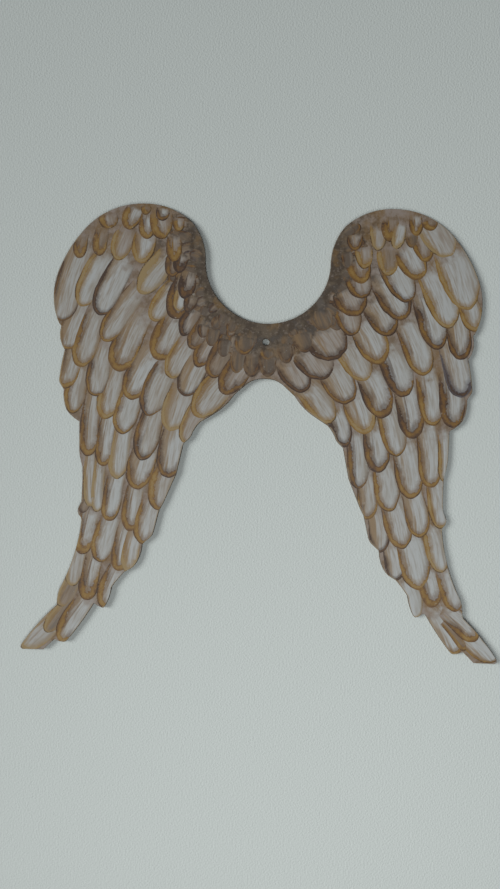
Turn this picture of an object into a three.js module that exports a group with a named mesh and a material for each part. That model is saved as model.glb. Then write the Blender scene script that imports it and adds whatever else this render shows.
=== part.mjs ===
// Angel wings wall plaque: one flat board sawn to the outline of two feathered wings and of
// the yoke that joins them, with a round hole in the yoke to hang it by.
// Millimetres. The board lies on its back in z = 0 with its painted face up, the tops of the
// wings toward +Y, and its origin on the axis of the hanging hole.
import * as THREE from "three";

// The whole board
const SPAN = 600;           // wing tip to wing tip
const HEIGHT = 567;         // top of the shoulders to the wing tips
const THICKNESS = 6;        // the sheet it is sawn from
const EDGE_EASE = 0.5;      // chamfer that the sanding leaves round both faces
const TIP_ROUND = 5;        // length that rounding takes off each side of a feather tip

// The yoke between the wings
const NECK_WIDTH = 158;     // the U between the shoulders
const NECK_DEPTH = 148;     // top of the shoulders to the bottom of the U
const YOKE_HEIGHT = 69;     // bottom of the U to the top of the arch under the yoke

// The hanging hole
const HOLE_DIAMETER = 9;
const HOLE_BELOW_NECK = 23; // bottom of the U to the hole's axis

// Smoothness of the curves
const CURVE_STEP = 8;       // longest side of a curve's facets
const TIP_FACETS = 4;
const HOLE_SIDES = 24;

// The outline of the right wing, from the middle of the U over the shoulder, down the outer
// edge to the wing tip, and up the inner edge to the middle of the arch. Each row is a corner
// of the sawn edge. out and down are its shares of the two lengths that the table names. bow
// is how far the edge to the next corner swells out, as a share of that edge's length, and
// less than 0 where it curves in. tip marks a feather tip, which is rounded.

// out: of half of NECK_WIDTH, down: of NECK_DEPTH from the top of the shoulders
const NECK_EDGE = [
  { out: 0, down: 1, bow: -0.198 },
  { out: 1, down: 0.5, bow: 0.097 },
  { out: 1.22, down: 0.155, bow: 0.1 },
];

// out: of half of SPAN, down: of HEIGHT from the top of the shoulders
const OUTER_EDGE = [
  { out: 0.533, down: 0, bow: 0.115 },
  { out: 0.787, down: 0.067, bow: 0.04 },
  { out: 0.873, down: 0.143, bow: 0.11 },
  { out: 0.874, down: 0.271, bow: 0, tip: true },
  { out: 0.864, down: 0.277, bow: 0.12 },
  { out: 0.847, down: 0.33, bow: 0.02 },
  { out: 0.868, down: 0.402, bow: 0, tip: true },
  { out: 0.847, down: 0.418, bow: 0.06 },
  { out: 0.832, down: 0.465, bow: 0.05, tip: true },
  { out: 0.777, down: 0.489, bow: 0 },
  { out: 0.774, down: 0.554, bow: 0.03 },
  { out: 0.759, down: 0.589, bow: -0.01 },
  { out: 0.759, down: 0.668, bow: 0 },
  { out: 0.776, down: 0.685, bow: 0.1, tip: true },
  { out: 0.756, down: 0.705, bow: -0.05 },
  { out: 0.843, down: 0.864, bow: 0.05 },
  { out: 0.851, down: 0.899, bow: 0.03 },
  { out: 0.9975, down: 0.99, bow: 0.32 },
  { out: 0.991, down: 1, bow: 0 },
];

// out: of half of SPAN, down: of the height from the arch to the wing tips
const INNER_EDGE = [
  { out: 0.903, down: 0.999, bow: 0 },
  { out: 0.858, down: 0.961, bow: 0.05 },
  { out: 0.811, down: 0.971, bow: 0.02, tip: true },
  { out: 0.694, down: 0.826, bow: 0 },
  { out: 0.654, down: 0.846, bow: 0.05, tip: true },
  { out: 0.622, down: 0.767, bow: -0.02 },
  { out: 0.57, down: 0.711, bow: 0 },
  { out: 0.533, down: 0.693, bow: 0.08, tip: true },
  { out: 0.498, down: 0.609, bow: 0 },
  { out: 0.456, down: 0.577, bow: 0, tip: true },
  { out: 0.43, down: 0.484, bow: 0 },
  { out: 0.413, down: 0.456, bow: 0 },
  { out: 0.363, down: 0.354, bow: 0 },
  { out: 0.336, down: 0.242, bow: 0 },
  { out: 0.307, down: 0.219, bow: -0.06, tip: true },
  { out: 0.27, down: 0.164, bow: 0 },
  { out: 0.202, down: 0.127, bow: 0.05, tip: true },
  { out: 0.128, down: 0.061, bow: 0 },
  { out: 0.075, down: 0.02, bow: -0.09 },
  { out: 0, down: 0, bow: 0 },
];

const shoulderTop = HOLE_BELOW_NECK + NECK_DEPTH;
const archTop = HOLE_BELOW_NECK - YOKE_HEIGHT;
const wingTip = shoulderTop - HEIGHT;

// The corners of one table, at their places on the board.
function corners(table, width, top, bottom) {
  return table.map(({ out, down, bow, tip = false }) => ({
    at: new THREE.Vector2(out * width, top - down * (top - bottom)),
    bow,
    tip,
  }));
}

// The points of the edge from one corner up to the next: the corner itself where the edge is
// straight, and otherwise a circular arc whose rise over its chord is the bow.
function edgePoints(from, to, bow) {
  const chord = to.clone().sub(from);
  const half = 2 * Math.atan(2 * bow);
  if (half === 0) return [from];
  const radius = chord.length() / (2 * Math.sin(half));
  const count = Math.max(2, Math.ceil(Math.abs(2 * half * radius) / CURVE_STEP));
  const along = chord.clone().normalize();
  const outward = new THREE.Vector2(-along.y, along.x);
  const middle = from.clone().add(to).multiplyScalar(0.5);
  return Array.from({ length: count }, (_, i) => {
    const turn = half * ((2 * i) / count - 1);
    return middle
      .clone()
      .addScaledVector(along, radius * Math.sin(turn))
      .addScaledVector(outward, radius * (Math.cos(turn) - Math.cos(half)));
  });
}

// A feather tip: the corner is replaced by a curve that leaves one side and joins the other.
function roundedTip(before, corner, after) {
  const reach = (side) => Math.min(TIP_ROUND, 0.45 * corner.distanceTo(side));
  const start = corner.clone().lerp(before, reach(before) / corner.distanceTo(before));
  const end = corner.clone().lerp(after, reach(after) / corner.distanceTo(after));
  return new THREE.QuadraticBezierCurve(start, corner, end).getPoints(TIP_FACETS);
}

// The right wing's outline, as points from the middle of the U to the middle of the arch.
function wingOutline() {
  const chain = [
    ...corners(NECK_EDGE, NECK_WIDTH / 2, shoulderTop, HOLE_BELOW_NECK),
    ...corners(OUTER_EDGE, SPAN / 2, shoulderTop, wingTip),
    ...corners(INNER_EDGE, SPAN / 2, archTop, wingTip),
  ];
  const last = chain.pop();
  const ends = [...chain.slice(1), last];
  const edges = chain.map(({ at, bow }, i) => edgePoints(at, ends[i].at, bow));
  const points = edges.flatMap(([corner, ...rest], i) => {
    if (!chain[i].tip) return [corner, ...rest];
    const before = edges[i - 1].at(-1);
    const after = rest[0] ?? ends[i].at;
    return [...roundedTip(before, corner, after), ...rest];
  });
  return [...points, last.at];
}

// Both wings: the right outline, and its mirror image from the arch back up to the U.
function boardShape() {
  const right = wingOutline();
  const left = right
    .slice(1, -1)
    .reverse()
    .map((point) => new THREE.Vector2(-point.x, point.y));
  const shape = new THREE.Shape([...right, ...left]);
  // The hole turns the other way from the outline, which runs clockwise.
  shape.holes.push(new THREE.Path().absarc(0, 0, HOLE_DIAMETER / 2, 0, 2 * Math.PI, false));
  return shape;
}

function wingBoard() {
  const geometry = new THREE.ExtrudeGeometry(boardShape(), {
    depth: THICKNESS - 2 * EDGE_EASE,
    curveSegments: HOLE_SIDES / 2,
    bevelThickness: EDGE_EASE,
    bevelSize: EDGE_EASE,
    bevelOffset: -EDGE_EASE,
    bevelSegments: 1,
  });
  geometry.translate(0, 0, EDGE_EASE);
  const paintedBoard = new THREE.MeshStandardMaterial({
    color: 0x9a8c80,
    roughness: 0.45,
    metalness: 0,
  });
  const board = new THREE.Mesh(geometry, paintedBoard);
  board.name = "wing_board";
  return board;
}

const plaque = new THREE.Group();
plaque.add(wingBoard());

export default plaque;
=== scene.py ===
# %% [markdown]
# Angel wings wall plaque, dressed for a studio picture. The real thing is a flat board sawn to
# the outline of two wings, painted by hand with rows of feathers. The board itself comes from
# the CAD model and stays as it is: this script gives it a finish, lays the painted feathers on
# it as thin relief, and sets the camera, the floor and the light.

# %% Load the board
import math
import random
from collections import namedtuple

import bpy
from mathutils import Matrix, Vector


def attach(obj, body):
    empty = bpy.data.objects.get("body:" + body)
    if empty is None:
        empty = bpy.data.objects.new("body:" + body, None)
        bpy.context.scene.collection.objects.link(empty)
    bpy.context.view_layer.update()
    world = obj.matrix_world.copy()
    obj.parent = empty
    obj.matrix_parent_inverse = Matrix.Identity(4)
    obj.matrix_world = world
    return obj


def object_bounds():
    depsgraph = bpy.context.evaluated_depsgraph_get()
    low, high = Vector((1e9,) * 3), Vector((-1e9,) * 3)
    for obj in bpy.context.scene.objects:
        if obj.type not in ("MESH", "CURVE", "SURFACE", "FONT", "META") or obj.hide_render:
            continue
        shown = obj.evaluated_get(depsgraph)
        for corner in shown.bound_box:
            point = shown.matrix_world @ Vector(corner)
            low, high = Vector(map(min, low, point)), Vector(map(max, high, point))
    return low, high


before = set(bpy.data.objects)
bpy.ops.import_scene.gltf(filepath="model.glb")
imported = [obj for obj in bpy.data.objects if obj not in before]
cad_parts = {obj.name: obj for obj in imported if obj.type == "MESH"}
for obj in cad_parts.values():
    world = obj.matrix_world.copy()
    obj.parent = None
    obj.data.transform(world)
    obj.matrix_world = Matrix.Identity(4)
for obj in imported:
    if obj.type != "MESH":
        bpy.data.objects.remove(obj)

MM = 0.001
cad_low, cad_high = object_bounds()
board = bpy.data.objects["wing_board"]
FACE = cad_high.z          # height of the painted face
print("board", [round(1000 * side) for side in cad_high - cad_low], "mm")

# %% [markdown]
# The painting is charted feather by feather, at the pixels of the photograph, so one
# function turns a pixel into a place on the board. The photograph was taken almost square on:
# the board is turned a little in it, and its right side is a little closer to the camera.

# %% From the photograph to the board
PHOTO_WIDTH = 500
PHOTO_HEIGHT = 889
HOLE_X = 265               # pixel where the hanging hole shows
HOLE_Y = 342
PIXEL = 1.258 * MM         # what a pixel covers at the hole
BOARD_TURN = 0.02643       # how far the board is turned in the photograph, in radians
BOARD_SHIFT = 0.919        # pixels between the hole's middle and HOLE_X
SIDE_GROWTH = 0.01097 / PHOTO_WIDTH  # how much larger each further pixel to the right shows
LEFT_TIP = (22, 648)       # pixel of the left wing's tip


def on_board(pixel_x, pixel_y):
    grown = 1 + SIDE_GROWTH * (pixel_x - HOLE_X)
    right = (pixel_x - HOLE_X) / grown
    up = (HOLE_Y - pixel_y) / grown
    x = right * math.cos(BOARD_TURN) - up * math.sin(BOARD_TURN) - BOARD_SHIFT
    y = right * math.sin(BOARD_TURN) + up * math.cos(BOARD_TURN)
    return x * PIXEL, y * PIXEL


print("left wing tip at", [round(1000 * place) for place in on_board(*LEFT_TIP)], "mm")

# %% [markdown]
# The camera stands straight above the board, as the photographer stood in front of the wall.
# A phone's lens sees about 65 degrees along the long side of its picture, and with that lens
# the board fills the picture as it does in the photograph from 0.88 m away.

# %% Camera
CAMERA_AIM = Vector((-16.6 * MM, -129.5 * MM, FACE))
CAMERA_DISTANCE = 878.5 * MM
CAMERA_SIDE = 0.0151       # how far the camera stands to the right, as a slope
CAMERA_ROLL = 0.0275       # how far the camera is turned, in radians
LENS_PIXELS = 698          # focal length, in pixels of the photograph
SENSOR = 36                # long side of the film, in millimetres

camera_data = bpy.data.cameras.new("camera")
camera_data.sensor_width = SENSOR
camera_data.lens = SENSOR * LENS_PIXELS / PHOTO_HEIGHT
camera = bpy.data.objects.new("camera", camera_data)
bpy.context.scene.collection.objects.link(camera)
bpy.context.scene.camera = camera

back = Vector((CAMERA_SIDE, 0, 1)).normalized()
picture_up = Vector((-math.sin(CAMERA_ROLL), math.cos(CAMERA_ROLL), 0))
across = picture_up.cross(back).normalized()
upward = back.cross(across)
turn = Matrix((across, upward, back)).transposed().to_4x4()
camera.matrix_world = Matrix.Translation(CAMERA_AIM + CAMERA_DISTANCE * back) @ turn
print("lens", round(camera_data.lens, 1), "mm")

# %% [markdown]
# Shader nodes are easier to read as sums than as boxes and wires. One small class stands for
# what a socket gives: adding or multiplying two of them adds the Math node that does it. The
# same class serves the geometry nodes, because both kinds of tree share their Math nodes.


# %% Nodes as expressions
class Value:
    """What a socket gives. Python's operators on it add Math nodes to its tree."""

    def __init__(self, bench, socket):
        self.bench = bench
        self.socket = socket

    def output(self, name):
        return Value(self.bench, self.socket.node.outputs[name])

    def __add__(self, other):
        return self.bench.maths("ADD", self, other)

    def __radd__(self, other):
        return self.bench.maths("ADD", other, self)

    def __sub__(self, other):
        return self.bench.maths("SUBTRACT", self, other)

    def __rsub__(self, other):
        return self.bench.maths("SUBTRACT", other, self)

    def __mul__(self, other):
        return self.bench.maths("MULTIPLY", self, other)

    def __rmul__(self, other):
        return self.bench.maths("MULTIPLY", other, self)

    def __truediv__(self, other):
        return self.bench.maths("DIVIDE", self, other)

    def __rtruediv__(self, other):
        return self.bench.maths("DIVIDE", other, self)

    def __pow__(self, other):
        return self.bench.maths("POWER", self, other)

    def __gt__(self, other):
        return self.bench.maths("GREATER_THAN", self, other)


class Bench:
    """Adds nodes to one tree: a type, its settings, then what its sockets are given."""

    def __init__(self, tree):
        self.tree = tree

    def node(self, kind, settings=None, sockets=None, output=0):
        made = self.tree.nodes.new(kind)
        for name, setting in (settings or {}).items():
            if name == "stops":
                self.set_stops(made.color_ramp, setting)
            else:
                setattr(made, name, setting)
        for name, given in (sockets or {}).items():
            if isinstance(given, Value):
                self.tree.links.new(given.socket, made.inputs[name])
            else:
                made.inputs[name].default_value = given
        return Value(self, made.outputs[output] if made.outputs else None)

    @staticmethod
    def set_stops(ramp, stops):
        while len(ramp.elements) < len(stops):
            ramp.elements.new(0.5)
        for element, (place, colour) in zip(ramp.elements, stops):
            element.position = place
            element.color = colour

    def maths(self, operation, *terms):
        return self.node("ShaderNodeMath", {"operation": operation}, dict(enumerate(terms)))

    def fade(self, value, start, end):
        """0 where the value is at start, 1 where it is at end, and smooth between."""
        return self.node(
            "ShaderNodeMapRange",
            {"interpolation_type": "SMOOTHSTEP"},
            {0: value, 1: start, 2: end},
        )

    def mix(self, amount, under, over):
        """A colour between two others."""
        settings = {"data_type": "RGBA", "clamp_factor": True}
        return self.node("ShaderNodeMix", settings, {0: amount, 6: under, 7: over}, 2)

    def noise(self, place, scale, detail=2.0, roughness=0.5):
        sockets = {"Vector": place, "Scale": scale, "Detail": detail, "Roughness": roughness}
        return self.node("ShaderNodeTexNoise", {}, sockets)

    def vector(self, x, y, z):
        return self.node("ShaderNodeCombineXYZ", {}, {0: x, 1: y, 2: z})

    def attribute(self, name):
        return self.node("ShaderNodeAttribute", {"attribute_name": name}, {}, "Fac")

    def bump(self, height, strength, depth):
        """A normal that makes a height look raised, where a height of 1 stands for the depth."""
        sockets = {"Height": height, "Strength": strength, "Distance": depth}
        return self.node("ShaderNodeBump", {}, sockets)


def paint(red, green, blue):
    """A colour as it shows on a screen, 0 to 255, made linear for a shader."""
    return tuple(((part / 255 + 0.055) / 1.055) ** 2.4 for part in (red, green, blue)) + (1.0,)


def finish_of(name, make):
    """A material whose nodes are added by the function make."""
    material = bpy.data.materials.new(name)
    material.use_nodes = True
    material.node_tree.nodes.clear()
    bench = Bench(material.node_tree)
    shader = bench.node("ShaderNodeBsdfPrincipled")
    bench.node("ShaderNodeOutputMaterial", {}, {"Surface": shader})
    make(bench, shader.socket.node, bench.node("ShaderNodeTexCoord", {}, {}, "Object"))
    return material


def wire(bench, shader, **given):
    """Gives values or links to the shader's sockets, named with _ for a space."""
    for name, value in given.items():
        socket = shader.inputs[name.replace("_", " ")]
        if isinstance(value, Value):
            bench.tree.links.new(value.socket, socket)
        else:
            socket.default_value = value


# %% [markdown]
# The floor stands in for the pale wall behind the plaque, with the wall's fine grain. Most of
# the light comes from a wide window high on the left, which draws the shadow along the right
# edges of the board. It is far away, so it lights the floor evenly. A small lamp above the
# floor below the wing tips stands for what the room gives back, and leaves the top of the
# floor a little darker, as the wall is in the photograph. A pale sky fills the shadows.

# %% Floor and light
FLOOR_SIZE = 200.0
FLOOR_GAP = 0.2 * MM       # keeps the floor from showing through the board's back
FLOOR_COLOUR = paint(220, 227, 225)
WINDOW_WIDTH = 28          # how wide the window looks from the board, in degrees
ROOM_LAMP_SIZE = 0.6       # side of the square lamp
SKY_COLOUR = (0.93, 0.97, 1.0, 1)
SKY_LIGHT = 0.09


def floor_finish(bench, shader, place):
    grain = bench.bump(bench.noise(place, 430.0), 0.6, 1.2 * MM)
    wire(bench, shader, Base_Color=FLOOR_COLOUR, Roughness=0.9, Normal=grain)


floor_mesh = bpy.data.meshes.new("floor")
half = FLOOR_SIZE / 2
corners = [(-half, -half, 0), (half, -half, 0), (half, half, 0), (-half, half, 0)]
floor_mesh.from_pydata(corners, [], [(0, 1, 2, 3)])
floor = bpy.data.objects.new("floor", floor_mesh)
floor.location.z = cad_low.z - FLOOR_GAP
floor_mesh.materials.append(finish_of("pale_floor", floor_finish))
bpy.context.scene.collection.objects.link(floor)


def lamp(name, kind, place, aim, power, colour):
    """Adds a lamp that shines from a place towards an aim, and gives back its settings."""
    data = bpy.data.lights.new(name, kind)
    data.energy = power
    data.color = colour
    made = bpy.data.objects.new(name, data)
    made.location = place
    made.rotation_mode = "QUATERNION"
    made.rotation_quaternion = (Vector(aim) - Vector(place)).to_track_quat("-Z", "Y")
    bpy.context.scene.collection.objects.link(made)
    return data


window = lamp(
    "window",
    "SUN",
    place=(-6.5, 0.8, 4.8),
    aim=(0, -0.1, 0),
    power=1.72,
    colour=(0.98, 1.0, 0.985),
)
window.angle = math.radians(WINDOW_WIDTH)
room = lamp(
    "room",
    "AREA",
    place=(0.05, -0.65, 1.2),
    aim=(0.05, -0.65, 0),
    power=4.7,
    colour=(0.99, 1.0, 0.985),
)
room.size = ROOM_LAMP_SIZE

sky = bpy.data.worlds.new("sky")
sky.use_nodes = True
sky.node_tree.nodes["Background"].inputs["Color"].default_value = SKY_COLOUR
sky.node_tree.nodes["Background"].inputs["Strength"].default_value = SKY_LIGHT
bpy.context.scene.world = sky
bpy.context.scene.view_settings.view_transform = "Standard"
print("floor", FLOOR_SIZE, "m wide, lamps:", window.name, "and", room.name)

# %% [markdown]
# The painted ground is what shows between the feathers: thin brown and lilac paint, dabbed on
# and wiped, over a fibre board. The saw leaves the board's sides dark brown, and their colour
# is made darker still as painted shade, for the contact shadow along the edge. The sanded edge
# round the face is a worn brown. Each is picked out by the way the surface faces.

# %% Ground of the board
NECK_MIDDLE = 100 * MM     # how far above the hole the middle of the neck's U is
NECK_PAINT_FULL = 105 * MM  # from there, the neck's dark paint is full up to here
NECK_PAINT_END = 150 * MM  # and ends here
NECK_PAINT_STRAY = 90 * MM  # how ragged its edge is, from its farthest in to its farthest out
NECK_BROWN = paint(105, 92, 77)
NECK_DARK = paint(82, 70, 58)
GROUND_BROWN = paint(128, 109, 90)
GROUND_LILAC = paint(154, 141, 132)
GROUND_OCHRE = paint(132, 103, 62)
GROUND_SLATE = paint(98, 94, 92)
SANDED_EDGE = paint(104, 84, 62)
# dark brown of the sawn sides, made darker as painted shade for the contact shadow at the edge
SAWN_SIDE_AND_SHADE = paint(50, 40, 33)
BOARD_BACK = paint(142, 116, 88)


def ground_grain(bench, place):
    """The dabs of the brush and the fine flecks, which show in the colour and in the bumps."""
    return bench.noise(place, 90.0, 4.0, 0.6), bench.noise(place, 300.0, 3.0, 0.6)


def ground_paint(bench, place):
    """The colour of the ground, which the bases of the feathers run out into."""
    x = bench.node("ShaderNodeSeparateXYZ", {}, {0: place}, "X")
    y = x.output("Y") - NECK_MIDDLE
    dabs, flecks = ground_grain(bench, place)
    patches = bench.noise(place, 40.0, 3.0, 0.55)
    colour = bench.mix(bench.fade(dabs, 0.35, 0.6), GROUND_BROWN, GROUND_LILAC)
    colour = bench.mix(bench.fade(patches, 0.44, 0.66) * 0.7, colour, GROUND_OCHRE)
    # Round the neck the paint is darker, with slate worked into it.
    from_neck = bench.maths("SQRT", x * x + y * y) + (dabs - 0.5) * NECK_PAINT_STRAY
    near = bench.fade(from_neck, NECK_PAINT_END, NECK_PAINT_FULL)
    neck = bench.mix(bench.fade(dabs, 0.42, 0.6), NECK_DARK, NECK_BROWN)
    neck = bench.mix(bench.fade(patches, 0.55, 0.7) * 0.6, neck, GROUND_OCHRE)
    neck = bench.mix(bench.fade(patches, 0.46, 0.34) * 0.5, neck, GROUND_SLATE)
    colour = bench.mix(near, colour, neck)
    return bench.mix(bench.fade(flecks, 0.54, 0.7) * 0.45, colour, GROUND_LILAC)


def ground_finish(bench, shader, place):
    facing = bench.node("ShaderNodeNewGeometry", {}, {}, "Normal")
    upness = bench.node("ShaderNodeSeparateXYZ", {}, {0: facing}, "Z")
    dabs, flecks = ground_grain(bench, place)
    # The sides are dark brown with painted contact shade in it, and the back is bare board.
    side = bench.mix(bench.fade(flecks, 0.3, 0.8) * 0.4, SAWN_SIDE_AND_SHADE, BOARD_BACK)
    colour = bench.mix(bench.fade(upness, 0.9, 0.4), ground_paint(bench, place), SANDED_EDGE)
    colour = bench.mix(bench.fade(upness, 0.4, 0.2), colour, side)
    colour = bench.mix(bench.fade(upness, -0.4, -0.6), colour, BOARD_BACK)
    brushed = bench.bump(dabs + flecks * 0.4, 0.35, 0.6 * MM)
    wire(bench, shader, Base_Color=colour, Roughness=0.5 + dabs * 0.15, Normal=brushed)


ground = finish_of("painted_ground", ground_finish)
board.data.materials.clear()
board.data.materials.append(ground)
print(ground.name, len(ground.node_tree.nodes), "nodes")

# %% [markdown]
# Every feather is one stroke of the brush repeated, so one feather is made once and Geometry
# Nodes repeat it. Its mesh is a U: columns run out from a spine to the rim, down one side,
# round the tip and up the other. The mesh holds no sizes, only where each point is on the U,
# and the node tree turns that into a place on the board for each feather of the chart.

# %% One feather, without sizes
FINE_RINGS = [0.0, 0.3, 0.55, 0.72, 0.84, 0.92, 0.97, 1.0]
COARSE_RINGS = [0.0, 0.6, 0.9, 1.0]


def feather_mesh(name, sides, tips, rings):
    """The U with its attributes: body 0 at the base, angle round the tip, ring, and top."""
    columns = [(i / sides, -math.pi / 2) for i in range(sides)]
    columns += [(1.0, math.pi * (i / tips - 0.5)) for i in range(tips + 1)]
    columns += [(1 - i / sides, math.pi / 2) for i in range(1, sides + 1)]
    last = len(columns) - 1
    points = [(i / sides, math.pi / 2, 0.0, 1.0) for i in range(sides + 1)]
    top = []
    for i, (body, angle) in enumerate(columns):
        spine = min(i, sides, last - i)
        top.append([spine] + list(range(len(points), len(points) + len(rings) - 1)))
        points += [(body, angle, ring, 1.0) for ring in rings[1:]]
    under = list(range(len(points), len(points) + len(columns)))
    points += [(body, angle, 1.0, 0.0) for body, angle in columns]
    faces = []
    for i in range(last):
        for ring in range(len(rings) - 1):
            face = (top[i][ring], top[i][ring + 1], top[i + 1][ring + 1], top[i + 1][ring])
            faces.append(tuple(dict.fromkeys(face)))
        faces.append((top[i][-1], under[i], under[i + 1], top[i + 1][-1]))
    for i in range(last // 2):
        face = (under[i], under[last - i], under[last - i - 1], under[i + 1])
        faces.append(tuple(dict.fromkeys(face)))
    faces.append((*top[0][::-1], *top[last][1:], under[last], under[0]))
    mesh = bpy.data.meshes.new(name)
    # The points stand at stand-in places until the tree moves them.
    places = [(ring * math.sin(angle), -body, 0) for body, angle, ring, _ in points]
    mesh.from_pydata(places, [], faces)
    for attribute, column in zip(("body", "angle", "ring", "top"), zip(*points)):
        mesh.attributes.new(attribute, "FLOAT", "POINT").data.foreach_set("value", column)
    return mesh


fine_mesh = feather_mesh("feather", sides=12, tips=20, rings=FINE_RINGS)
coarse_mesh = feather_mesh("dab", sides=4, tips=10, rings=COARSE_RINGS)
feather = bpy.data.objects.new("feather", fine_mesh)
dab = bpy.data.objects.new("dab", coarse_mesh)
print("one feather:", len(feather.data.polygons), "faces, one dab:", len(dab.data.polygons))

# %% [markdown]
# The node tree first shortens a feather whose base would pass the sawn edge. Then it copies the
# U to every place in the chart and bends each copy to its own lean, width and length. A ray
# from the spine finds the board's edge, and a feather that reaches it is cut there, as the
# painter's stroke ends at the saw cut. Feathers lie like roof tiles: the tip is highest, so
# each row covers the bases of the next, and each feather covers its neighbour on the left.

# %% The tree that lays feathers
THINNEST = 0.03 * MM       # least height of the paint, before its base sinks
BASE_SINK = 0.06 * MM      # how far a base sinks, which takes it into the board
UNDERSIDE = -0.05 * MM     # height of a feather's underside, just inside the board
SHORTEST_CUT = 0.02        # least share of its half width that the sawn edge leaves a feather
LONGEST_CAP = 0.6          # most of a feather's length that its round tip may take up
SHORTEST_FEATHER = 1.05    # least length of a shortened feather, in lengths of its round tip
BRUSH_WOBBLE = 100.0       # how closely the wobbles of a rim follow each other
TREE_INPUTS = [
    ("Feather", "NodeSocketObject"),
    ("Board", "NodeSocketObject"),
    ("Finish", "NodeSocketMaterial"),
    ("Face", "NodeSocketFloat"),
    ("Paint Height", "NodeSocketFloat"),
    ("Tile Length", "NodeSocketFloat"),
    ("Side Slope", "NodeSocketFloat"),
    ("Rim Drop", "NodeSocketFloat"),
    ("Edge Margin", "NodeSocketFloat"),
    ("Tip Roundness", "NodeSocketFloat"),
    ("Base Narrowing", "NodeSocketFloat"),
    ("Wobble", "NodeSocketFloat"),
]


def field(bench, name):
    settings = {"data_type": "FLOAT"}
    return bench.node("GeometryNodeInputNamedAttribute", settings, {"Name": name})


def keep(bench, geometry, name, value):
    """Stores a value on every point, under a name that the material reads."""
    settings = {"data_type": "FLOAT", "domain": "POINT"}
    sockets = {"Geometry": geometry, "Name": name, "Value": value}
    return bench.node("GeometryNodeStoreNamedAttribute", settings, sockets)


def centre_line(bench, way):
    """Where a feather's middle line is, a way up from its tip, and which way it runs there."""
    lean, curl, length = field(bench, "lean"), field(bench, "curl"), field(bench, "length")
    share = way / length
    chord = lean - curl * 0.5 + curl * share * 0.5
    run = lean - curl * 0.5 + curl * share
    x = field(bench, "tip_x") + way * bench.maths("SINE", chord)
    y = field(bench, "tip_y") + way * bench.maths("COSINE", chord)
    return x, y, run


def ray_to_edge(bench, group, start, towards, reach):
    """How far the sawn edge is from start, towards a direction, and whether it is that near."""
    info = bench.node("GeometryNodeObjectInfo", {}, {"Object": group.output("Board")}, "Geometry")
    sockets = {
        "Target Geometry": info,
        "Source Position": start,
        "Ray Direction": towards,
        "Ray Length": reach,
    }
    hit = bench.node("GeometryNodeRaycast", {}, sockets, "Is Hit")
    return hit, hit.output("Hit Distance")


def choose(bench, yes, otherwise, wanted):
    sockets = {"Switch": yes, "False": otherwise, "True": wanted}
    return bench.node("GeometryNodeSwitch", {"input_type": "FLOAT"}, sockets)


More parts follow.
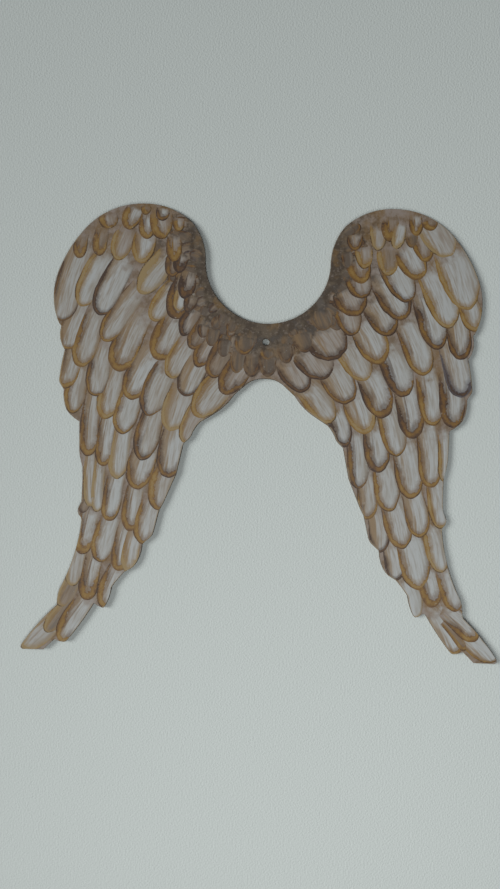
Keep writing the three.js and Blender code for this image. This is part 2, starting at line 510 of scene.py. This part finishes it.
def feather_tree():
    tree = bpy.data.node_groups.new("painted_feathers", "GeometryNodeTree")
    tree.interface.new_socket(name="Chart", in_out="INPUT", socket_type="NodeSocketGeometry")
    for name, kind in TREE_INPUTS:
        tree.interface.new_socket(name=name, in_out="INPUT", socket_type=kind)
    tree.interface.new_socket(name="Feathers", in_out="OUTPUT", socket_type="NodeSocketGeometry")
    bench = Bench(tree)
    group = bench.node("NodeGroupInput")
    middle = group.output("Face") * 0.5
    margin = group.output("Edge Margin")

    def cap_length():
        roundness = group.output("Tip Roundness") * field(bench, "roundness")
        round_tip = roundness * field(bench, "width")
        return bench.maths("MINIMUM", round_tip, field(bench, "length") * LONGEST_CAP)

    # A base that would pass the sawn edge is drawn back.
    cap = cap_length()
    near_x, near_y, _ = centre_line(bench, cap)
    far_x, far_y, _ = centre_line(bench, field(bench, "length"))
    start = bench.vector(near_x, near_y, middle)
    towards = bench.vector(far_x - near_x, far_y - near_y, 0.0)
    room = field(bench, "length") - cap
    hit, distance = ray_to_edge(bench, group, start, towards, room)
    shortened = bench.maths("MAXIMUM", cap * SHORTEST_FEATHER, cap + distance - margin)
    length = choose(bench, hit, field(bench, "length"), shortened)
    chart = keep(bench, group.output("Chart"), "length", length)

    # The U is copied to every place, and its points become points of the board.
    info = bench.node("GeometryNodeObjectInfo", {}, {"Object": group.output("Feather")}, "Geometry")
    sockets = {"Points": chart, "Instance": info}
    copies = bench.node("GeometryNodeInstanceOnPoints", {}, sockets)
    made = bench.node("GeometryNodeRealizeInstances", {}, {"Geometry": copies})

    width, length, angle = field(bench, "width"), field(bench, "length"), field(bench, "angle")
    ring, cap = field(bench, "ring"), cap_length()
    to_base = 1 - field(bench, "body")
    spine_way = cap + to_base * (length - cap)
    spine_x, spine_y, _ = centre_line(bench, spine_way)
    narrowed = 1 - group.output("Base Narrowing") * to_base**1.5
    rim_way = spine_way - bench.maths("COSINE", angle) * cap
    aside = bench.maths("SINE", angle) * width * 0.5 * narrowed
    line_x, line_y, run = centre_line(bench, rim_way)
    rim_x = line_x + aside * bench.maths("COSINE", run)
    rim_y = line_y - aside * bench.maths("SINE", run)
    brush = bench.noise(bench.vector(rim_x, rim_y, field(bench, "seed")), BRUSH_WOBBLE, 0.0)
    wobble = 1 + (brush - 0.5) * group.output("Wobble")
    out_x = (rim_x - spine_x) * wobble
    out_y = (rim_y - spine_y) * wobble
    reach = bench.maths("SQRT", out_x * out_x + out_y * out_y)
    start = bench.vector(spine_x, spine_y, middle)
    towards = bench.vector(out_x, out_y, 0.0)
    hit, distance = ray_to_edge(bench, group, start, towards, reach + margin)
    cut = bench.maths("MAXIMUM", (distance - margin) / reach, SHORTEST_CUT)
    whole = choose(bench, hit, 1.0, bench.maths("MINIMUM", cut, 1.0))
    inside = ring * whole

    # The height falls away from the tip and to the right, and at the rim.
    way = spine_way - bench.maths("COSINE", angle) * cap * inside
    side = bench.maths("SINE", angle) * width * 0.5 * inside
    height = group.output("Paint Height") * (1 - way / group.output("Tile Length"))
    height = height - side * group.output("Side Slope") + field(bench, "lift")
    height = height - group.output("Rim Drop") * bench.fade(ring, 0.85, 1.0)
    height = height * bench.fade(way / length, 1.0, 0.75)
    # The base runs into the board, so it ends in no step.
    height = bench.maths("MAXIMUM", height, THINNEST)
    height = height - bench.fade(way / length, 0.9, 1.0) * BASE_SINK
    level = group.output("Face") + choose(bench, field(bench, "top") > 0.5, UNDERSIDE, height)
    place = bench.vector(spine_x + out_x * inside, spine_y + out_y * inside, level)
    kept = keep(bench, made, "way", way)
    kept = keep(bench, kept, "side", side)
    kept = keep(bench, kept, "to_cut", choose(bench, hit, 1.0, reach * (whole - inside)))
    # The tip is an ellipse: this is how far its rim is, square to the rim.
    half_width = width * 0.5
    long_part = cap * bench.maths("SINE", angle)
    wide_part = half_width * bench.maths("COSINE", angle)
    to_rim = cap * half_width / bench.maths("SQRT", long_part**2 + wide_part**2)
    kept = keep(bench, kept, "rim", (1 - inside) * to_rim)
    moved = bench.node("GeometryNodeSetPosition", {}, {"Geometry": kept, "Position": place})
    sockets = {"Geometry": moved, "Material": group.output("Finish")}
    finished = bench.node("GeometryNodeSetMaterial", {}, sockets)
    bench.node("NodeGroupOutput", {}, {0: finished})
    return tree


laying = feather_tree()
print("feather tree:", len(laying.nodes), "nodes")

# %% [markdown]
# The chart says for each feather where its tip is in the photograph, how far its base leans
# away from straight up, how wide and long it is, how thick its stroke of paint is, and which
# two colours of paint it has: the stroke along its rim, and the wash inside it. Leans are in
# degrees, and places and sizes are in pixels of the photograph.

# %% Words of the chart
UNDER_THE_NEXT = 1.2       # how far a base runs on under the row above
Feather = namedtuple("Feather", "tip_x tip_y lean width length stroke tone wash")

# Tones of a stroke and of a wash, on the shader's scales from light to dark
TAN, GOLD, OCHRE, BROWN, UMBER, SLATE = 0.0, 0.2, 0.4, 0.6, 0.8, 1.0
ICE, LILAC, PEARL, ROSE, FAWN, MUD = 0.0, 0.2, 0.4, 0.6, 0.8, 1.0

# Each feather has a seed from 0 up to SEED_RANGE, so that no two are painted alike.
SEED_RANGE = 5
SEED_MIDDLE = SEED_RANGE / 2
SEED_STEP = 7.31           # from one feather to the next, and round again at SEED_RANGE

# %% [markdown]
# The left wing has short feathers over the shoulder and then long ones, row after row, down to
# the wing tip. They lean to the right, towards the yoke.

# %% Left wing
LEFT_WING = [
    # Coverts over the shoulder
    Feather(79, 258, 10, 14, 28, 5, OCHRE, FAWN),
    Feather(99, 256, 8, 15, 28, 6, OCHRE, FAWN),
    Feather(110, 228, -8, 20, 22, 5, OCHRE, ROSE),
    Feather(127, 229, 25, 20, 26, 5, OCHRE, LILAC),
    Feather(146, 215, 0, 10, 14, 7, OCHRE, FAWN),
    Feather(147, 239, 5, 18, 26, 5, OCHRE, LILAC),
    Feather(162, 239, 0, 24, 30, 8, OCHRE, ROSE),
    Feather(163, 221, 0, 14, 14, 3, BROWN, LILAC),
    Feather(179, 232, 0, 12, 14, 5, OCHRE, ROSE),
    Feather(175, 262, 0, 16, 28, 7, OCHRE, ROSE),
    Feather(117, 260, 20, 22, 32, 4, GOLD, ROSE),
    Feather(141, 263, 12, 24, 32, 4, GOLD, LILAC),
    Feather(171, 277, 15, 18, 24, 4, BROWN, FAWN),
    Feather(178, 273, 15, 15, 20, 6, UMBER, ROSE),
    # First long row
    Feather(61, 321, 18, 28, 88, 2, BROWN, PEARL),
    Feather(81, 306, 27, 26, 62, 4, GOLD, LILAC),
    Feather(99, 315, 27, 27, 66, 3, UMBER, LILAC),
    Feather(140, 294, 38, 26, 50, 6, TAN, PEARL),
    Feather(104, 341, 35, 24, 66, 3, OCHRE, PEARL),
    Feather(152, 321, 35, 22, 45, 4, GOLD, PEARL),
    Feather(174, 319, 22, 28, 46, 6, BROWN, PEARL),
    Feather(178, 312, 15, 16, 22, 3, GOLD, LILAC),
    Feather(185, 299, 12, 18, 28, 6, UMBER, ROSE),
    Feather(187, 312, 20, 14, 18, 5, UMBER, FAWN),
    # Second long row
    Feather(66, 349, 22, 24, 55, 2, OCHRE, PEARL),
    Feather(80, 367, 19, 27, 66, 5, OCHRE, PEARL),
    Feather(117, 371, 24, 30, 64, 6, OCHRE, PEARL),
    Feather(157, 360, 27, 30, 54, 6, OCHRE, PEARL),
    Feather(183, 336, 25, 20, 30, 6, UMBER, ROSE),
    Feather(191, 349, 32, 20, 34, 4, BROWN, FAWN),
    Feather(203, 338, 5, 12, 14, 3, UMBER, FAWN),
    Feather(197, 367, 30, 20, 36, 4, BROWN, ROSE),
    Feather(211, 378, 26, 24, 38, 5, BROWN, FAWN),
    Feather(223, 394, 35, 28, 42, 6, BROWN, ROSE),
    Feather(236, 373, 12, 17, 24, 2, BROWN, MUD),
    # Third long row
    Feather(64, 388, 20, 22, 50, 4, OCHRE, PEARL),
    Feather(95, 397, 13, 24, 58, 3, BROWN, PEARL),
    Feather(129, 399, 28, 28, 56, 4, OCHRE, LILAC),
    Feather(170, 378, 30, 26, 44, 3, GOLD, PEARL),
    Feather(184, 396, 25, 26, 42, 2, UMBER, PEARL),
    Feather(196, 417, 38, 32, 50, 4, GOLD, PEARL),
    # Fourth long row
    Feather(72, 413, 14, 22, 52, 4, OCHRE, PEARL),
    Feather(105, 419, 16, 24, 58, 4, GOLD, PEARL),
    Feather(147, 416, 24, 30, 56, 4, BROWN, PEARL),
    Feather(170, 431, 20, 28, 54, 3, TAN, PEARL),
    Feather(184, 443, 25, 22, 42, 3, GOLD, ROSE),
    # Fifth row
    Feather(88, 456, 8, 20, 74, 5, OCHRE, PEARL),
    Feather(121, 434, 19, 26, 60, 4, OCHRE, LILAC),
    Feather(103, 466, 10, 18, 62, 4, OCHRE, LILAC),
    Feather(142, 460, 17, 26, 60, 4, BROWN, PEARL),
    Feather(168, 478, 12, 28, 58, 4, BROWN, LILAC),
    # Sixth row
    Feather(117, 479, 10, 20, 60, 3, TAN, LILAC),
    Feather(136, 489, 16, 28, 46, 4, OCHRE, LILAC),
    Feather(90, 506, 3, 13, 56, 3, TAN, PEARL),
    Feather(97, 512, 6, 14, 56, 3, TAN, LILAC),
    Feather(109, 521, 12, 20, 54, 4, OCHRE, ICE),
    Feather(157, 510, 15, 26, 46, 6, OCHRE, PEARL),
    # Seventh row
    Feather(130, 531, 10, 20, 52, 5, OCHRE, LILAC),
    Feather(82, 513, 20, 12, 20, 2, UMBER, FAWN),
    Feather(82, 554, 14, 22, 50, 7, OCHRE, LILAC),
    Feather(99, 562, 18, 24, 50, 4, OCHRE, LILAC),
    Feather(119, 571, 10, 18, 50, 5, OCHRE, LILAC),
    Feather(142, 544, 16, 26, 48, 5, OCHRE, LILAC),
    Feather(128, 572, 12, 18, 44, 4, TAN, LILAC),
    # Last feathers, to the wing tip
    Feather(72, 586, 14, 18, 44, 2, TAN, PEARL),
    Feather(87, 600, 12, 20, 52, 7, OCHRE, LILAC),
    Feather(104, 608, 22, 24, 46, 5, OCHRE, LILAC),
    Feather(60, 606, 30, 18, 38, 3, TAN, FAWN),
    Feather(61, 641, 33, 24, 54, 5, OCHRE, LILAC),
    Feather(46, 632, 40, 16, 48, 3, TAN, FAWN),
    Feather(23, 648, 50, 26, 56, 4, TAN, PEARL),
]

print(len(LEFT_WING), "feathers on the left wing")

# %% [markdown]
# The right wing was painted with fewer and broader feathers. Its leans are written as if it
# were a left wing, and are mirrored when the feathers are laid.

# %% Right wing
RIGHT_WING = [
    # Coverts over the shoulder and along the inner edge
    Feather(354, 251, 0, 16, 16, 3, BROWN, ROSE),
    Feather(364, 269, 5, 18, 22, 4, GOLD, ROSE),
    Feather(347, 268, 5, 12, 16, 2, UMBER, MUD),
    Feather(362, 284, 15, 24, 26, 6, OCHRE, ROSE),
    Feather(362, 299, 15, 26, 26, 5, BROWN, ROSE),
    Feather(357, 316, 25, 34, 30, 5, BROWN, ROSE),
    Feather(352, 336, 15, 26, 30, 4, BROWN, ROSE),
    Feather(389, 242, 0, 18, 24, 7, OCHRE, FAWN),
    Feather(378, 251, 5, 16, 26, 3, TAN, ROSE),
    Feather(395, 249, -10, 14, 26, 3, TAN, LILAC),
    Feather(388, 276, 5, 22, 28, 5, GOLD, FAWN),
    Feather(416, 236, 5, 14, 22, 5, OCHRE, PEARL),
    Feather(429, 231, 0, 16, 14, 5, OCHRE, FAWN),
    Feather(411, 248, 0, 13, 14, 3, BROWN, MUD),
    Feather(427, 262, 20, 20, 30, 4, OCHRE, ROSE),
    # First row
    Feather(449, 257, 32, 34, 44, 3, TAN, PEARL),
    Feather(419, 280, 25, 30, 38, 5, OCHRE, LILAC),
    Feather(409, 302, 28, 30, 46, 4, BROWN, LILAC),
    Feather(404, 320, 30, 32, 54, 4, BROWN, LILAC),
    Feather(468, 310, 20, 38, 66, 4, GOLD, LILAC),
    Feather(474, 332, 15, 22, 40, 4, GOLD, LILAC),
    Feather(450, 328, 22, 32, 66, 4, GOLD, LILAC),
    Feather(391, 336, 30, 30, 44, 4, BROWN, PEARL),
    Feather(438, 350, 18, 28, 62, 5, BROWN, LILAC),
    # Second row
    Feather(461, 360, 10, 24, 52, 4, BROWN, PEARL),
    Feather(425, 376, 22, 28, 60, 4, OCHRE, LILAC),
    Feather(381, 364, 28, 32, 48, 4, OCHRE, LILAC),
    Feather(338, 359, 35, 42, 36, 4, UMBER, ROSE),
    Feather(327, 378, 38, 38, 38, 4, UMBER, ROSE),
    Feather(304, 392, 28, 32, 38, 3, UMBER, ROSE),
    Feather(365, 381, 28, 32, 46, 4, GOLD, PEARL),
    Feather(349, 404, 30, 32, 44, 3, BROWN, PEARL),
    Feather(332, 423, 38, 28, 46, 4, GOLD, PEARL),
    # Third row
    Feather(462, 398, 15, 28, 62, 4, SLATE, LILAC),
    Feather(405, 397, 22, 30, 54, 6, BROWN, LILAC),
    Feather(384, 418, 22, 30, 48, 6, BROWN, LILAC),
    Feather(433, 426, 10, 26, 56, 5, OCHRE, LILAC),
    Feather(413, 439, 12, 26, 58, 6, BROWN, LILAC),
    Feather(452, 428, 5, 26, 60, 6, BROWN, LILAC),
    Feather(366, 434, 20, 30, 46, 4, GOLD, LILAC),
    Feather(344, 448, 15, 22, 38, 4, UMBER, LILAC),
    # Fourth row
    Feather(397, 457, 14, 26, 54, 4, OCHRE, LILAC),
    Feather(378, 473, 8, 26, 50, 5, BROWN, LILAC),
    Feather(358, 489, 5, 22, 58, 5, BROWN, LILAC),
    Feather(430, 488, 6, 24, 66, 4, OCHRE, LILAC),
    Feather(444, 482, 3, 14, 50, 3, GOLD, LILAC),
    Feather(411, 499, 10, 28, 60, 4, OCHRE, LILAC),
    # Fifth row
    Feather(388, 512, 8, 26, 52, 4, OCHRE, LILAC),
    Feather(367, 520, 5, 20, 48, 3, OCHRE, PEARL),
    Feather(441, 529, 8, 24, 50, 3, GOLD, LILAC),
    Feather(420, 538, 13, 24, 54, 3, OCHRE, LILAC),
    Feather(402, 549, 14, 28, 50, 4, OCHRE, LILAC),
    Feather(380, 553, 8, 20, 44, 2, UMBER, PEARL),
    # Sixth row
    Feather(418, 590, 14, 32, 58, 5, OCHRE, ICE),
    Feather(441, 573, 14, 24, 50, 4, GOLD, LILAC),
    Feather(396, 581, 10, 20, 38, 2, UMBER, LILAC),
    Feather(415, 619, 15, 22, 42, 2, TAN, ICE),
    Feather(433, 608, 12, 22, 36, 6, OCHRE, ICE),
    Feather(456, 612, 18, 24, 44, 5, OCHRE, LILAC),
    # Last feathers, to the wing tip
    Feather(477, 641, 48, 22, 46, 5, OCHRE, LILAC),
    Feather(465, 651, 40, 9, 40, 6, OCHRE, FAWN),
    Feather(457, 655, 30, 26, 50, 3, OCHRE, ICE),
    Feather(496, 662, 48, 28, 50, 1.5, OCHRE, ICE),
]

print(len(RIGHT_WING), "feathers on the right wing")

# %% [markdown]
# The yoke has a few dark feathers below and beside the hanging hole.

# %% Yoke
YOKE = [
    Feather(252, 377, 3, 17, 22, 4, UMBER, MUD),
    Feather(269, 377, -4, 18, 22, 3, UMBER, MUD),
    Feather(223, 357, 10, 14, 18, 3, UMBER, MUD),
    Feather(244, 355, 5, 20, 18, 3, BROWN, MUD),
    Feather(267, 360, 0, 14, 10, 3, BROWN, MUD),
    Feather(288, 363, -12, 16, 20, 3, UMBER, MUD),
    Feather(211, 346, 12, 14, 18, 2, UMBER, MUD),
    Feather(308, 352, -20, 20, 20, 2, UMBER, MUD),
    Feather(327, 330, -20, 22, 20, 2, UMBER, MUD),
]

print(len(YOKE), "feathers on the yoke")

# %% [markdown]
# Round the neck the painter filled the board with small dabs instead of drawing each feather.
# Nobody counts those, so they are scattered by a rule: rings of dabs round the middle of the
# neck, each a little out of line, that point away from it. The seed is fixed, so the dabs fall
# in the same places each time.

# %% Dabs round the neck
DAB_RINGS = [100, 109, 118, 127]  # radius of each ring of dabs, in millimetres
DAB_SPACING = 15 * MM
DAB_START = math.radians(-205)
DAB_END = math.radians(25)
DAB_SEED = 7
DAB_DRIFT = 3              # how far a dab may be off its ring, in millimetres
DAB_SWAY = 0.35            # how far its lean may be off, in radians
DAB_WIDTHS = (9, 15)       # least and most, in pixels of the photograph
DAB_LENGTHS = (0.8, 1.3)   # in widths of the dab
DAB_TONES = (0.65, 0.95)
DAB_WASHES = [MUD, MUD, FAWN]
DAB_STROKES = (1.5, 3.0)   # in pixels of the photograph
EDGE_CLEARANCE = 3 * MM
HOLE_CLEARANCE = 20 * MM
ABOVE_ALL = 0.1            # a height from which the board is felt for


def over_board(x, y):
    """Whether a place lies over the board, clear of its edge and of the hanging hole."""
    down = Vector((0, 0, -1))
    hits = []
    for right, up in ((1, 0), (-1, 0), (0, 1), (0, -1)):
        beside = Vector((x + EDGE_CLEARANCE * right, y + EDGE_CLEARANCE * up, ABOVE_ALL))
        hits.append(board.ray_cast(beside, down)[0])
    return all(hits) and math.hypot(x, y) > HOLE_CLEARANCE


def neck_dabs():
    """Feathers of the chart's kind at places on the board, each with the lean of its base."""
    chance = random.Random(DAB_SEED)
    rows = []
    for radius in DAB_RINGS:
        count = round((DAB_END - DAB_START) * radius * MM / DAB_SPACING)
        for i in range(count):
            angle = DAB_START + (DAB_END - DAB_START) * (i + chance.random()) / count
            away = radius * MM + chance.uniform(-DAB_DRIFT, DAB_DRIFT) * MM
            x = away * math.cos(angle)
            y = NECK_MIDDLE + away * math.sin(angle)
            lean = math.atan2(-x, NECK_MIDDLE - y) + chance.uniform(-DAB_SWAY, DAB_SWAY)
            width = chance.uniform(*DAB_WIDTHS)
            length = width * chance.uniform(*DAB_LENGTHS)
            tone = chance.uniform(*DAB_TONES)
            wash = chance.choice(DAB_WASHES)
            stroke = chance.uniform(*DAB_STROKES)
            base_x = x + length * PIXEL * UNDER_THE_NEXT * math.sin(lean)
            base_y = y + length * PIXEL * UNDER_THE_NEXT * math.cos(lean)
            if over_board(x, y) and over_board(base_x, base_y):
                leaning = math.degrees(lean)
                rows.append(Feather(x, y, leaning, width, length, stroke, tone, wash))
    return rows


NECK_DABS = neck_dabs()
print(len(NECK_DABS), "dabs")

# %% [markdown]
# The paint on a feather is a wash and a stroke. The wash is thin lilac white pulled down the
# feather with a dry brush, so it shows streaks, and it goes brown under the feather above. The
# stroke follows the rim like a C: thick at the lower left, where the brush was pressed, and
# thin up both sides. The material reads how far a point is from the rim and from the tip,
# which the tree stored, so the stroke follows each feather wherever it lies.

# %% Paint of the feathers
STROKE_TONES = [
    (0.0, paint(161, 138, 98)),
    (0.2, paint(154, 122, 67)),
    (0.4, paint(135, 101, 51)),
    (0.6, paint(108, 79, 51)),
    (0.8, paint(74, 56, 46)),
    (1.0, paint(96, 91, 95)),
]
WASH_TONES = [
    (0.0, paint(179, 181, 178)),
    (0.2, paint(166, 160, 151)),
    (0.4, paint(157, 145, 129)),
    (0.6, paint(151, 133, 117)),
    (0.8, paint(134, 112, 88)),
    (1.0, paint(104, 91, 79)),
]
WASH_SHADE = paint(122, 104, 84)
WASH_GREY = paint(152, 144, 134)
# the wash's pale white, which the glints below also use as their painted highlight
WASH_WHITE_AND_GLINT = paint(191, 194, 195)
SIDE_TINT = paint(148, 121, 88)
OUTLINE = paint(58, 42, 34)
WORN_EDGE = paint(172, 156, 128)


def feather_finish(bench, shader, place):
    rim, way, side = (bench.attribute(name) for name in ("rim", "way", "side"))
    width, length, seed = (bench.attribute(name) for name in ("width", "length", "seed"))
    stroke, tone, wash = (bench.attribute(name) for name in ("stroke", "tone", "wash"))
    angle, body = bench.attribute("angle"), bench.attribute("body")

    def pulled(way_share, seed_share, *noise):
        """Noise that is drawn out along the feather: narrow across it and long down it."""
        place_in_feather = bench.vector(side * 1000, way * way_share, seed * seed_share)
        return bench.noise(place_in_feather, *noise)

    streaks = pulled(90, 17, 0.5, 3.0, 0.55)
    bands = pulled(25, 31, 0.24, 1.0)
    cool = pulled(140, 23, 0.2, 2.0)
    ragged = bench.noise(place, 420.0, 2.0, 0.6)
    dabs = bench.noise(place, 110.0, 2.0)

    # round_rim runs along the rim: -1 to 1 round the tip, then to -2.5 and 2.5 up the sides.
    round_rim = angle * (2 / math.pi) + bench.maths("SIGN", angle) * (1 - body) * 1.5
    along = bench.noise(bench.vector(round_rim, seed * 13, 0.0), 1.6, 2.0)
    apart = bench.noise(bench.vector(round_rim, seed * 13, 5.0), 1.3, 1.0)
    drawn = bench.fade(bench.maths("ABSOLUTE", round_rim), 2.5, 1.3)

    # The wash is tan beside the stroke, cool white down the middle and grey at the right.
    wash_tone = wash + (cool - 0.5) * 0.7
    colour = bench.node("ShaderNodeValToRGB", {"stops": WASH_TONES}, {0: wash_tone})
    drift = (bands - 0.5) * 0.9 + (cool - 0.5) * 0.9 + (streaks - 0.5) * 0.9
    slide = side / (width * 0.5) + drift + (seed - SEED_MIDDLE) * 0.1
    tan = bench.fade(slide, 0.05, -0.85) * 0.74
    colour = bench.mix(tan, colour, SIDE_TINT)
    light = bench.fade(slide, -0.75, -0.1) * bench.fade(slide, 1.0, 0.4)
    light = light * bench.fade(wash, 1.1, 0.1) * (0.3 + bench.fade(streaks, 0.34, 0.64) * 0.58)
    colour = bench.mix(light, colour, WASH_WHITE_AND_GLINT)
    colour = bench.mix(bench.fade(slide, 0.5, 1.1) * 0.5, colour, WASH_GREY)
    colour = bench.mix(bench.fade(streaks, 0.46, 0.3) * 0.16, colour, WASH_SHADE)
    sides = bench.fade(rim + (streaks - 0.5) * (3 * MM), 3.5 * MM, 0.4 * MM) * drawn
    colour = bench.mix(sides * bench.fade(apart, 0.3, 0.6) * 0.6, colour, SIDE_TINT)

    # The stroke is a C, thickest at the lower left and thin up both sides. It is gold along
    # its middle, and browner up the side and where the paint ran thin at its edges. On the
    # mud coloured dabs round the neck it is rubbed thin.
    left_on = 1 - bench.fade(wash, 0.7, 1.0) * bench.fade(dabs, 0.3, 0.6) * 0.75
    turned = round_rim + (seed - SEED_MIDDLE) * 0.22
    press = bench.fade(turned, -2.5, -0.9) * bench.fade(turned, 1.2, -0.4)
    press = press * (0.4 + along * 1.5) + 0.12 * drawn * bench.fade(apart, 0.36, 0.56)
    edge = rim / stroke + (ragged - 0.5) * 0.9 + (dabs - 0.5) * 0.7
    line = bench.fade(edge - press, 0.12, -0.06) * bench.fade(press, 0.04, 0.12)
    tint = bench.fade(edge - press * 1.5, 1.0, -0.3) * 0.6 * drawn
    depth = edge / press
    core = bench.fade(depth, 0.1, 0.5) * bench.fade(depth, 1.0, 0.7)
    stroke_tone = tone + 0.1 - core * 0.26 + (along - 0.5) * 0.7 + (dabs - 0.5) * 0.4
    stroke_tone = stroke_tone + bench.fade(turned, -0.8, -2.0) * 0.25
    stroke_tone = bench.maths("MINIMUM", stroke_tone, bench.maths("MAXIMUM", tone, 0.8))
    pigment = bench.node("ShaderNodeValToRGB", {"stops": STROKE_TONES}, {0: stroke_tone})
    colour = bench.mix(tint * left_on, colour, pigment)
    colour = bench.mix(line * 0.94 * left_on, colour, pigment)
    outline = bench.fade(rim, 1.8 * MM, 0.6 * MM) * bench.fade(apart, 0.42, 0.58) * drawn
    outline = outline * (1 - bench.fade(turned, 0.3, 1.6) * 0.6) * bench.fade(ragged, 0.3, 0.56)
    colour = bench.mix(outline * 0.85 * left_on, colour, OUTLINE)
    # Along the sawn edge the sanding has worn the paint to a pale line.
    to_edge = bench.attribute("to_cut") + (ragged - 0.5) * (2 * MM)
    worn = bench.fade(to_edge, 1.8 * MM, 0.4 * MM)
    colour = bench.mix(worn * 0.55, colour, WORN_EDGE)

    # Here and there a fleck of white is painted in as a highlight, for light caught on raised
    # paint.
    painted_glint = bench.fade(ragged, 0.63, 0.74) * bench.fade(dabs, 0.5, 0.62)
    colour = bench.mix(painted_glint * 0.35, colour, WASH_WHITE_AND_GLINT)

    # The base runs out into the ground.
    base = bench.fade(way / length + (streaks - 0.5) * 0.3 + (dabs - 0.5) * 0.5, 0.62, 0.9)
    colour = bench.mix(base, colour, ground_paint(bench, place))

    raised = bench.bump(streaks * 0.5 + line * 0.5 + ragged * 0.35, 0.35, 0.4 * MM)
    wire(bench, shader, Base_Color=colour, Roughness=0.4 + ragged * 0.2, Normal=raised)


feather_paint = finish_of("feather_paint", feather_finish)
print(feather_paint.name, len(feather_paint.node_tree.nodes), "nodes")

# %% [markdown]
# Laying the feathers: a chart becomes a mesh of loose points that carry the sizes, the tree
# makes the feathers on it, and the result is kept as a plain mesh.

# %% Lay the feathers
CURL = math.radians(16)    # how far a feather bends from its tip to its base
SLOPE_OF_ROWS = 0.15 * MM  # how much higher the top row lies than the lowest
DAB_LIFT = -0.15 * MM      # dabs are thinner than feathers
LEAST_ROUND = 0.9          # roundness of the tips with seed 0
ROUNDER = 0.06             # what each unit of the seed adds to it
SHARP_ANGLE = math.radians(35)
LAYING = {
    "Face": FACE,
    "Paint Height": 0.35 * MM,
    "Tile Length": 100 * MM,
    "Side Slope": 0.003,
    "Rim Drop": 0.06 * MM,
    "Edge Margin": 0.55 * MM,
    "Tip Roundness": 0.85,
    "Base Narrowing": 0.3,
    "Wobble": 0.1,
}


def chart_mesh(name, rows, places, leans, curl=0.0, lift=0.0):
    """Loose points, one for each feather, with its sizes as attributes."""
    mesh = bpy.data.meshes.new(name)
    mesh.from_pydata([(0, 0, 0)] * len(rows), [], [])
    heights = [(y - cad_low.y) / (cad_high.y - cad_low.y) for _, y in places]
    seeds = [(SEED_STEP * i) % SEED_RANGE for i in range(len(rows))]
    columns = {
        "tip_x": [x for x, _ in places],
        "tip_y": [y for _, y in places],
        "lean": leans,
        "curl": [curl] * len(rows),
        "width": [row.width * PIXEL for row in rows],
        "length": [row.length * PIXEL * UNDER_THE_NEXT for row in rows],
        "stroke": [row.stroke * PIXEL for row in rows],
        "tone": [row.tone for row in rows],
        "wash": [row.wash for row in rows],
        "seed": seeds,
        "roundness": [LEAST_ROUND + ROUNDER * seed for seed in seeds],
        "lift": [lift + SLOPE_OF_ROWS * share for share in heights],
    }
    for column, numbers in columns.items():
        mesh.attributes.new(column, "FLOAT", "POINT").data.foreach_set("value", numbers)
    return mesh


def lay_feathers(name, shape, chart_points):
    chart = bpy.data.objects.new(name + "_chart", chart_points)
    bpy.context.scene.collection.objects.link(chart)
    bpy.context.scene.collection.objects.link(shape)
    modifier = chart.modifiers.new("feathers", "NODES")
    modifier.node_group = laying
    inputs = {"Feather": shape, "Board": board, "Finish": feather_paint, **LAYING}
    for socket in laying.interface.items_tree:
        if socket.name in inputs:
            modifier[socket.identifier] = inputs[socket.name]
    evaluated = chart.evaluated_get(bpy.context.evaluated_depsgraph_get())
    mesh = bpy.data.meshes.new_from_object(evaluated)
    mesh.name = name
    bpy.data.objects.remove(chart)
    bpy.context.scene.collection.objects.unlink(shape)
    piece = bpy.data.objects.new(name, mesh)
    bpy.context.scene.collection.objects.link(piece)
    mesh.shade_smooth()
    mesh.set_sharp_from_angle(angle=SHARP_ANGLE)
    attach(piece, "root")
    print(name, len(chart_points.vertices), "feathers,", len(mesh.polygons), "faces")


def lay_wing(name, rows, way_of_lean):
    """Lays a chart of the photograph, whose leans are mirrored from wing to wing."""
    places = [on_board(row.tip_x, row.tip_y) for row in rows]
    leans = [way_of_lean * math.radians(row.lean) - BOARD_TURN for row in rows]
    points = chart_mesh(name + "_chart", rows, places, leans, curl=way_of_lean * CURL)
    lay_feathers(name, feather, points)


lay_wing("left_wing_feathers", LEFT_WING, 1)
lay_wing("right_wing_feathers", RIGHT_WING, -1)
lay_wing("yoke_feathers", YOKE, 1)
dab_places = [(row.tip_x, row.tip_y) for row in NECK_DABS]
dab_leans = [math.radians(row.lean) for row in NECK_DABS]
dab_points = chart_mesh("dab_chart", NECK_DABS, dab_places, dab_leans, lift=DAB_LIFT)
lay_feathers("neck_dabs", dab, dab_points)
bpy.data.objects.remove(feather)
bpy.data.objects.remove(dab)
